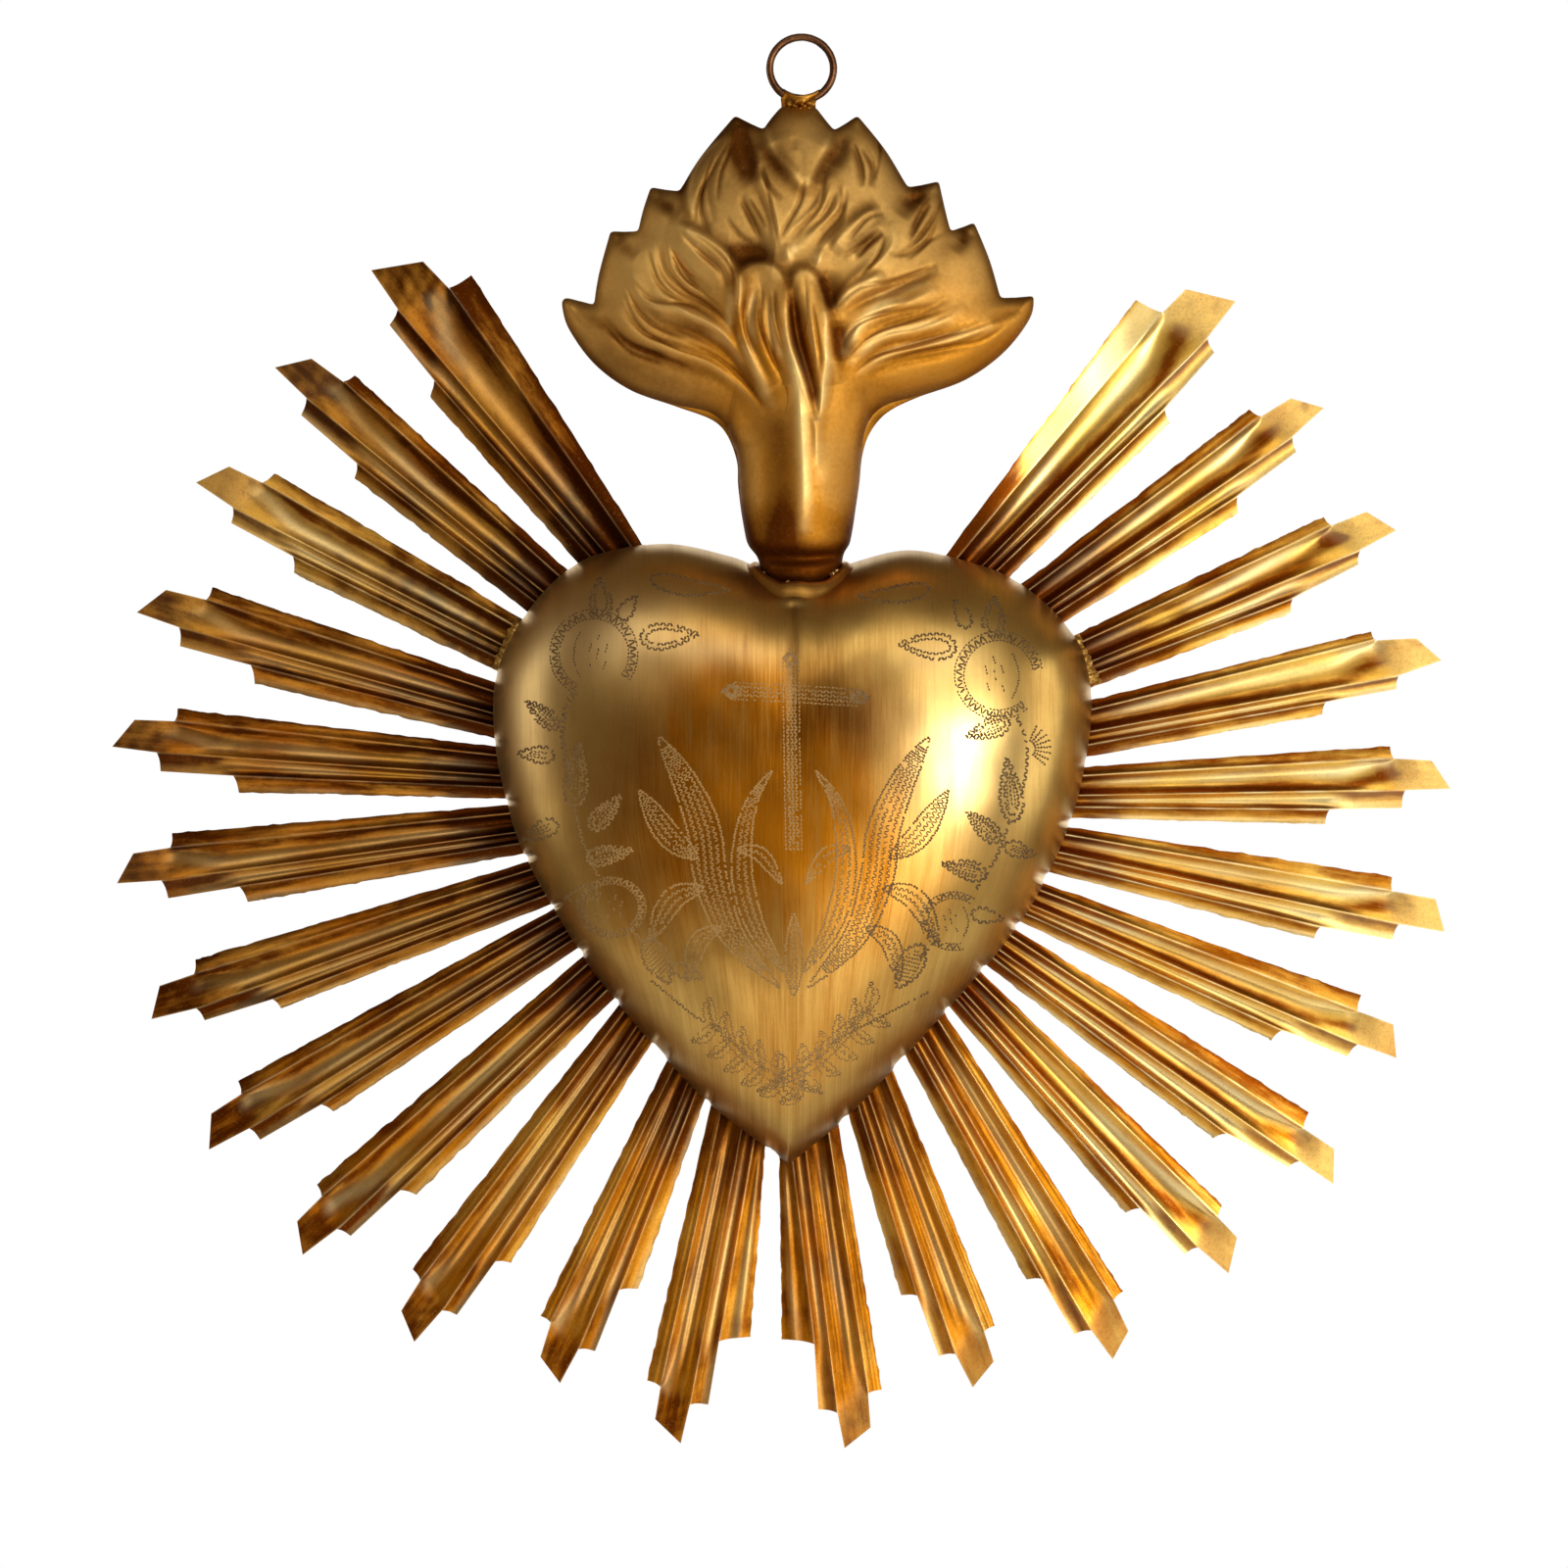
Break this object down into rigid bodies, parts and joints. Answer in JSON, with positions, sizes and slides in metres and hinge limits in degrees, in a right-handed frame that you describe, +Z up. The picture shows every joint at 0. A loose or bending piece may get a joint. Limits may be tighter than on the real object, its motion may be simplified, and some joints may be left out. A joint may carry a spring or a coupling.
{
  "type": "wall ex-voto",
  "caption": "Hollow domed brass heart with a flame and hanging ring, ringed by fluted stepped rays; a devotional wall ornament with engraved garlands.",
  "frame": {"origin": "where the ring hangs, inside the top of its wire", "axes": "+Z up when hung, -Y out of the engraved front, +Y towards the wall, +X to the viewer's right"},
  "size_m": [0.3295, 0.038, 0.3473],
  "materials": {
    "heart": "satin patina under amber lacquer, engraved",
    "ray_left": "brown patina, polished flutes",
    "ray_right": "polished flutes with brown patina",
    "flame": "satin, raised relief",
    "ring": "dark patina",
    "solder": "rough",
    "back": "dull patina"
  },
  "bodies": {
    "root": {"heart_front_shell": "heart", "heart_back_plate": "back", "flame_front_shell": "flame", "flame_back_shell": "back", "neck_collar": "heart", "hanging_ring": "ring", "ring_solder": "solder", "solder_fillet_left": "solder", "solder_fillet_right": "solder", "ray_left_01": "ray_left", "ray_left_02": "ray_left", "ray_left_03": "ray_left", "ray_left_04": "ray_left", "ray_left_05": "ray_left", "ray_left_06": "ray_left", "ray_left_07": "ray_left", "ray_left_08": "ray_left", "ray_left_09": "ray_left", "ray_left_10": "ray_left", "ray_left_11": "ray_left", "ray_left_12": "ray_left", "ray_right_01": "ray_right", "ray_right_02": "ray_right", "ray_right_03": "ray_right", "ray_right_04": "ray_right", "ray_right_05": "ray_right", "ray_right_06": "ray_right", "ray_right_07": "ray_right", "ray_right_08": "ray_right", "ray_right_09": "ray_right", "ray_right_10": "ray_right", "ray_right_11": "ray_right", "ray_right_12": "ray_right"}
  },
  "joints": []
}
